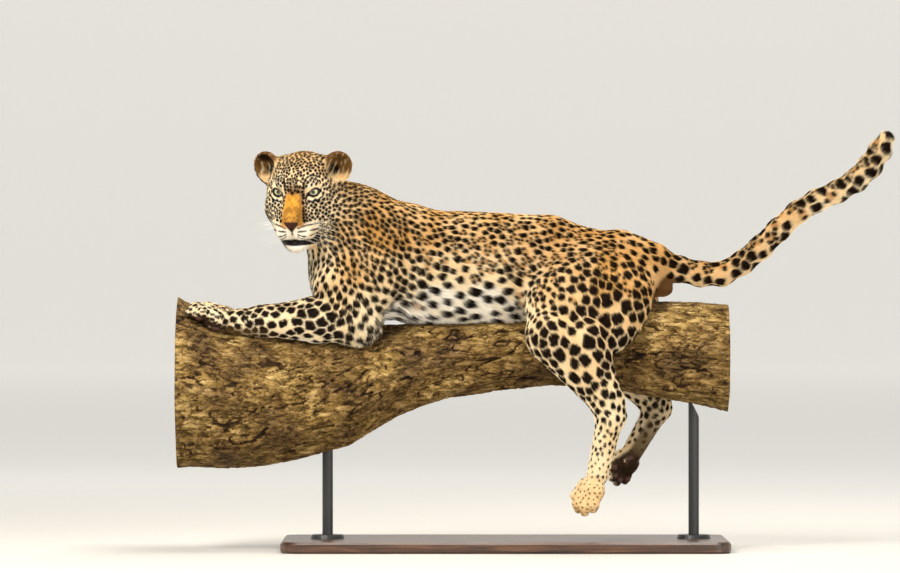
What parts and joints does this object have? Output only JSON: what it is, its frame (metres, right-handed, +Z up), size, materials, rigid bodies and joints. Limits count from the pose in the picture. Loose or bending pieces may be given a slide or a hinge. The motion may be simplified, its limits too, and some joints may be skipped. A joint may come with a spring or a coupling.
{
  "type": "leopard",
  "caption": "Life-size still leopard lying along a cut branch, legs hanging either side, tail raised, on a museum base with rods.",
  "frame": {"origin": "centre of the base board's underside", "axes": "+Z up, -X to the end of the branch that the head and forepaws are at, -Y to the side that the face looks to, which is the animal's left"},
  "size_m": [1.8909, 0.5001, 1.1077],
  "materials": {
    "coat": "short dense fur, golden tan with dark brown rosettes",
    "ear_fur": "short reddish brown fur with a darker cup",
    "eye": "wet, pale yellow-green with a round black pupil",
    "bark": "rough dry bark, pale grey-tan with dark cracks",
    "base_wood": "dark stained hardwood, satin",
    "rod_steel": "matt black"
  },
  "bodies": {
    "root": {"torso": "coat", "neck": "coat", "head": "coat", "eye_left": "eye", "ear_left": "ear_fur", "eye_right": "eye", "ear_right": "ear_fur", "shoulder_left": "coat", "forearm_left": "coat", "forepaw_left": "coat", "thigh_left": "coat", "shank_left": "coat", "hind_foot_left": "coat", "shoulder_right": "coat", "forearm_right": "coat", "forepaw_right": "coat", "thigh_right": "coat", "shank_right": "coat", "hind_foot_right": "coat", "tail_base": "coat", "tail_middle": "coat", "tail_tip": "coat", "perch": "bark", "stand_base": "base_wood", "stand_rod_front": "rod_steel", "stand_flange_front": "rod_steel", "stand_rod_rear": "rod_steel", "stand_flange_rear": "rod_steel"}
  },
  "joints": []
}
